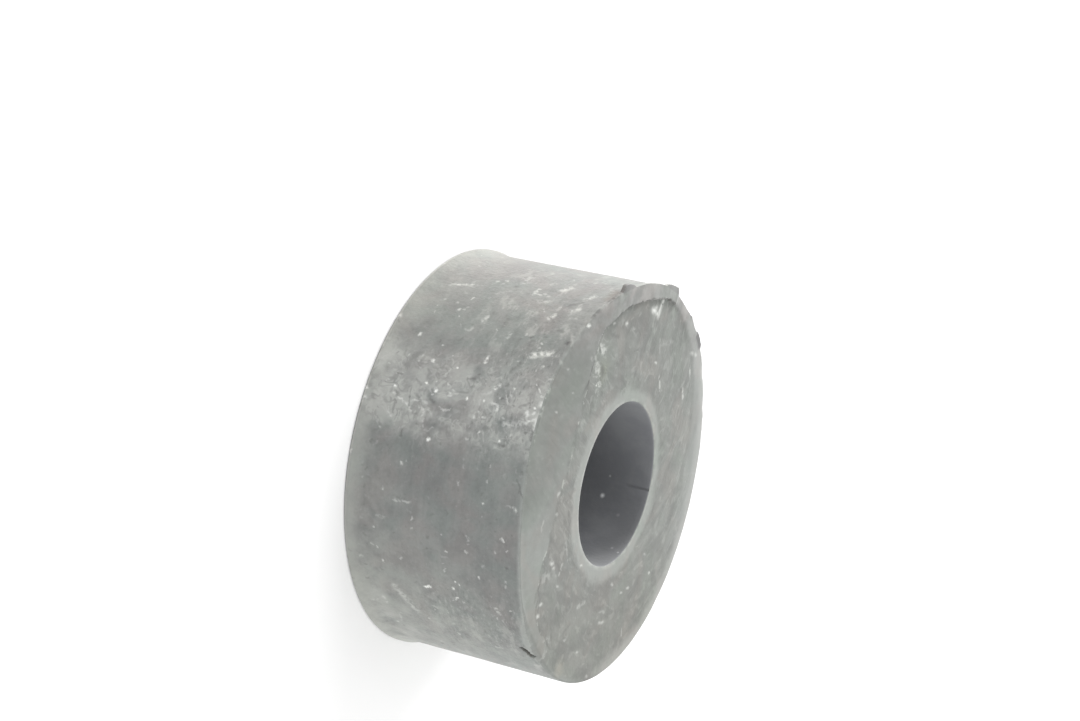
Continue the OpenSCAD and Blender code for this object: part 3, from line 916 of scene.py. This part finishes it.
def boreRubber():
    material, sheet = newMaterial("bore_rubber")
    p = places(sheet)
    x, y, z = p.node("ShaderNodeSeparateXYZ", None, {0: p}, (0, 1, 2))
    around = x.math("ARCTAN2", x * -1, y)
    flat = p.node("ShaderNodeCombineXYZ", None, {0: around * boreR, 1: z})
    mottle = p.cloud(0.5, 4.0, 0.55)
    colour = mottle.between(0.35, 0.65).blend(boreLook["deep"], boreLook["pale"])
    colour = (z.between(8.0, 11.7) * x.between(-1.0, 4.5) * 0.6).blend(colour, boreLook["shade"])
    colour = (flat.flecks(0.6, 0.1, 0.16, 0.25, 0.0, 6.28) * 0.12).blend(colour, boreLook["speck"])
    marks = [(math.radians(t - 90) * boreR, h, r, s) for t, h, r, s in boreSpecks]
    colour = flat.specks(marks).blend(colour, boreLook["speck"])
    # Painted shade in the slit
    colour = (stored(sheet, "crease") * 0.7).blend(colour, grey(0.03))
    rubberShader(sheet, colour, 0.5 + mottle * 0.12, p.cloud(2.5, 3.0), 0.015)
    return material


def dressRing(piece):
    data = piece.data
    for material in (wallRubber(), faceRubber(), boreRubber()):
        data.materials.append(material)
    for face in data.polygons:
        x, y, z = (c / mm for c in face.center)
        far = math.hypot(x, y)
        if far < boreR + 0.05 and abs(face.normal.z) < 0.7:
            face.material_index = 2
        elif abs(face.normal.z) > 0.6 and (z > faceZ - 1.0 or z < 0.1):
            face.material_index = 1
    deselectAll()
    piece.select_set(True)
    bpy.context.view_layer.objects.active = piece
    bpy.ops.object.shade_smooth_by_angle(angle=math.radians(ring["smoothAngle"]))


dressRing(stopper)
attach(stopper, "root")
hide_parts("stopper")
print("rubber dressed")

# Stage: a pale floor that shows white to the camera and keeps the shadow
stage = {"floorSize": 1.2, "floorTone": 0.86, "lift": 0.16, "worldTone": 0.7}


def makeFloor():
    deselectAll()
    bpy.ops.mesh.primitive_plane_add(size=stage["floorSize"], location=(0, 0, 0))
    floor = bpy.context.object
    floor.name = "floor"
    material, sheet = newMaterial("floor_paper")
    path = sheet.node("ShaderNodeLightPath", out="Is Camera Ray")
    matte = sheet.node("ShaderNodeBsdfDiffuse", None, {"Color": grey(stage["floorTone"])})
    glow = sheet.node("ShaderNodeEmission", None, {"Color": (1, 1, 1, 1), "Strength": path * stage["lift"]})
    both = sheet.node("ShaderNodeAddShader", None, {0: matte, 1: glow})
    sheet.node("ShaderNodeOutputMaterial", None, {"Surface": both})
    floor.data.materials.append(material)


def makeWorld():
    world = bpy.data.worlds.new("studio")
    bpy.context.scene.world = world
    world.use_nodes = True
    world.node_tree.nodes.clear()
    sheet = Wire(world.node_tree)
    seen = sheet.node("ShaderNodeLightPath", out="Is Camera Ray")
    strength = seen * (1 - stage["worldTone"]) + stage["worldTone"]
    light = sheet.node("ShaderNodeBackground", None, {"Color": (1, 1, 1, 1), "Strength": strength})
    sheet.node("ShaderNodeOutputWorld", None, {"Surface": light})


lamps = {
    # name: place in metres, side in metres, watts
    "lamp_over": ((0.0, 0.05, 0.4), 0.35, 0.44),
    "lamp_fin_side": ((-0.4, 0.0, 0.12), 0.35, 1.4),
    "lamp_back": ((-0.32, 0.24, 0.08), 0.14, 1.3),
    "lamp_low_side": ((0.4, -0.1, 0.12), 0.35, 0.75),
}


def makeLamps():
    for name, (place, side, watts) in lamps.items():
        data = bpy.data.lights.new(name, "AREA")
        data.shape, data.size, data.energy = "SQUARE", side, watts
        lamp = bpy.data.objects.new(name, data)
        bpy.context.scene.collection.objects.link(lamp)
        lamp.location = place
        aim = Vector((0, 0, faceZ * mm / 2)) - Vector(place)
        lamp.rotation_euler = aim.to_track_quat("-Z", "Y").to_euler()


# The photograph's camera, rolled so that the ring lies on its side
camera = {
    "lens": 75.0,
    "sensor": 36.0,
    "elevation": 25.915,
    "roll": 101.83,
    "fromFace": (-6.457, -126.92, 54.71),    # mm from the middle of the front face
}


def makeCamera():
    data = bpy.data.cameras.new("camera")
    data.lens, data.sensor_width = camera["lens"], camera["sensor"]
    data.clip_start, data.clip_end = 0.005, 10
    item = bpy.data.objects.new("camera", data)
    bpy.context.scene.collection.objects.link(item)
    x, y, z = camera["fromFace"]
    item.location = (x * mm, y * mm, (z + faceZ) * mm)
    tilt = Euler((math.radians(90 - camera["elevation"]), 0, 0)).to_matrix()
    item.rotation_euler = (tilt @ Matrix.Rotation(math.radians(camera["roll"]), 3, "Z")).to_euler()
    bpy.context.scene.camera = item


makeFloor()
makeWorld()
makeLamps()
makeCamera()
bpy.context.scene.view_settings.view_transform = "Standard"
print("stage set")
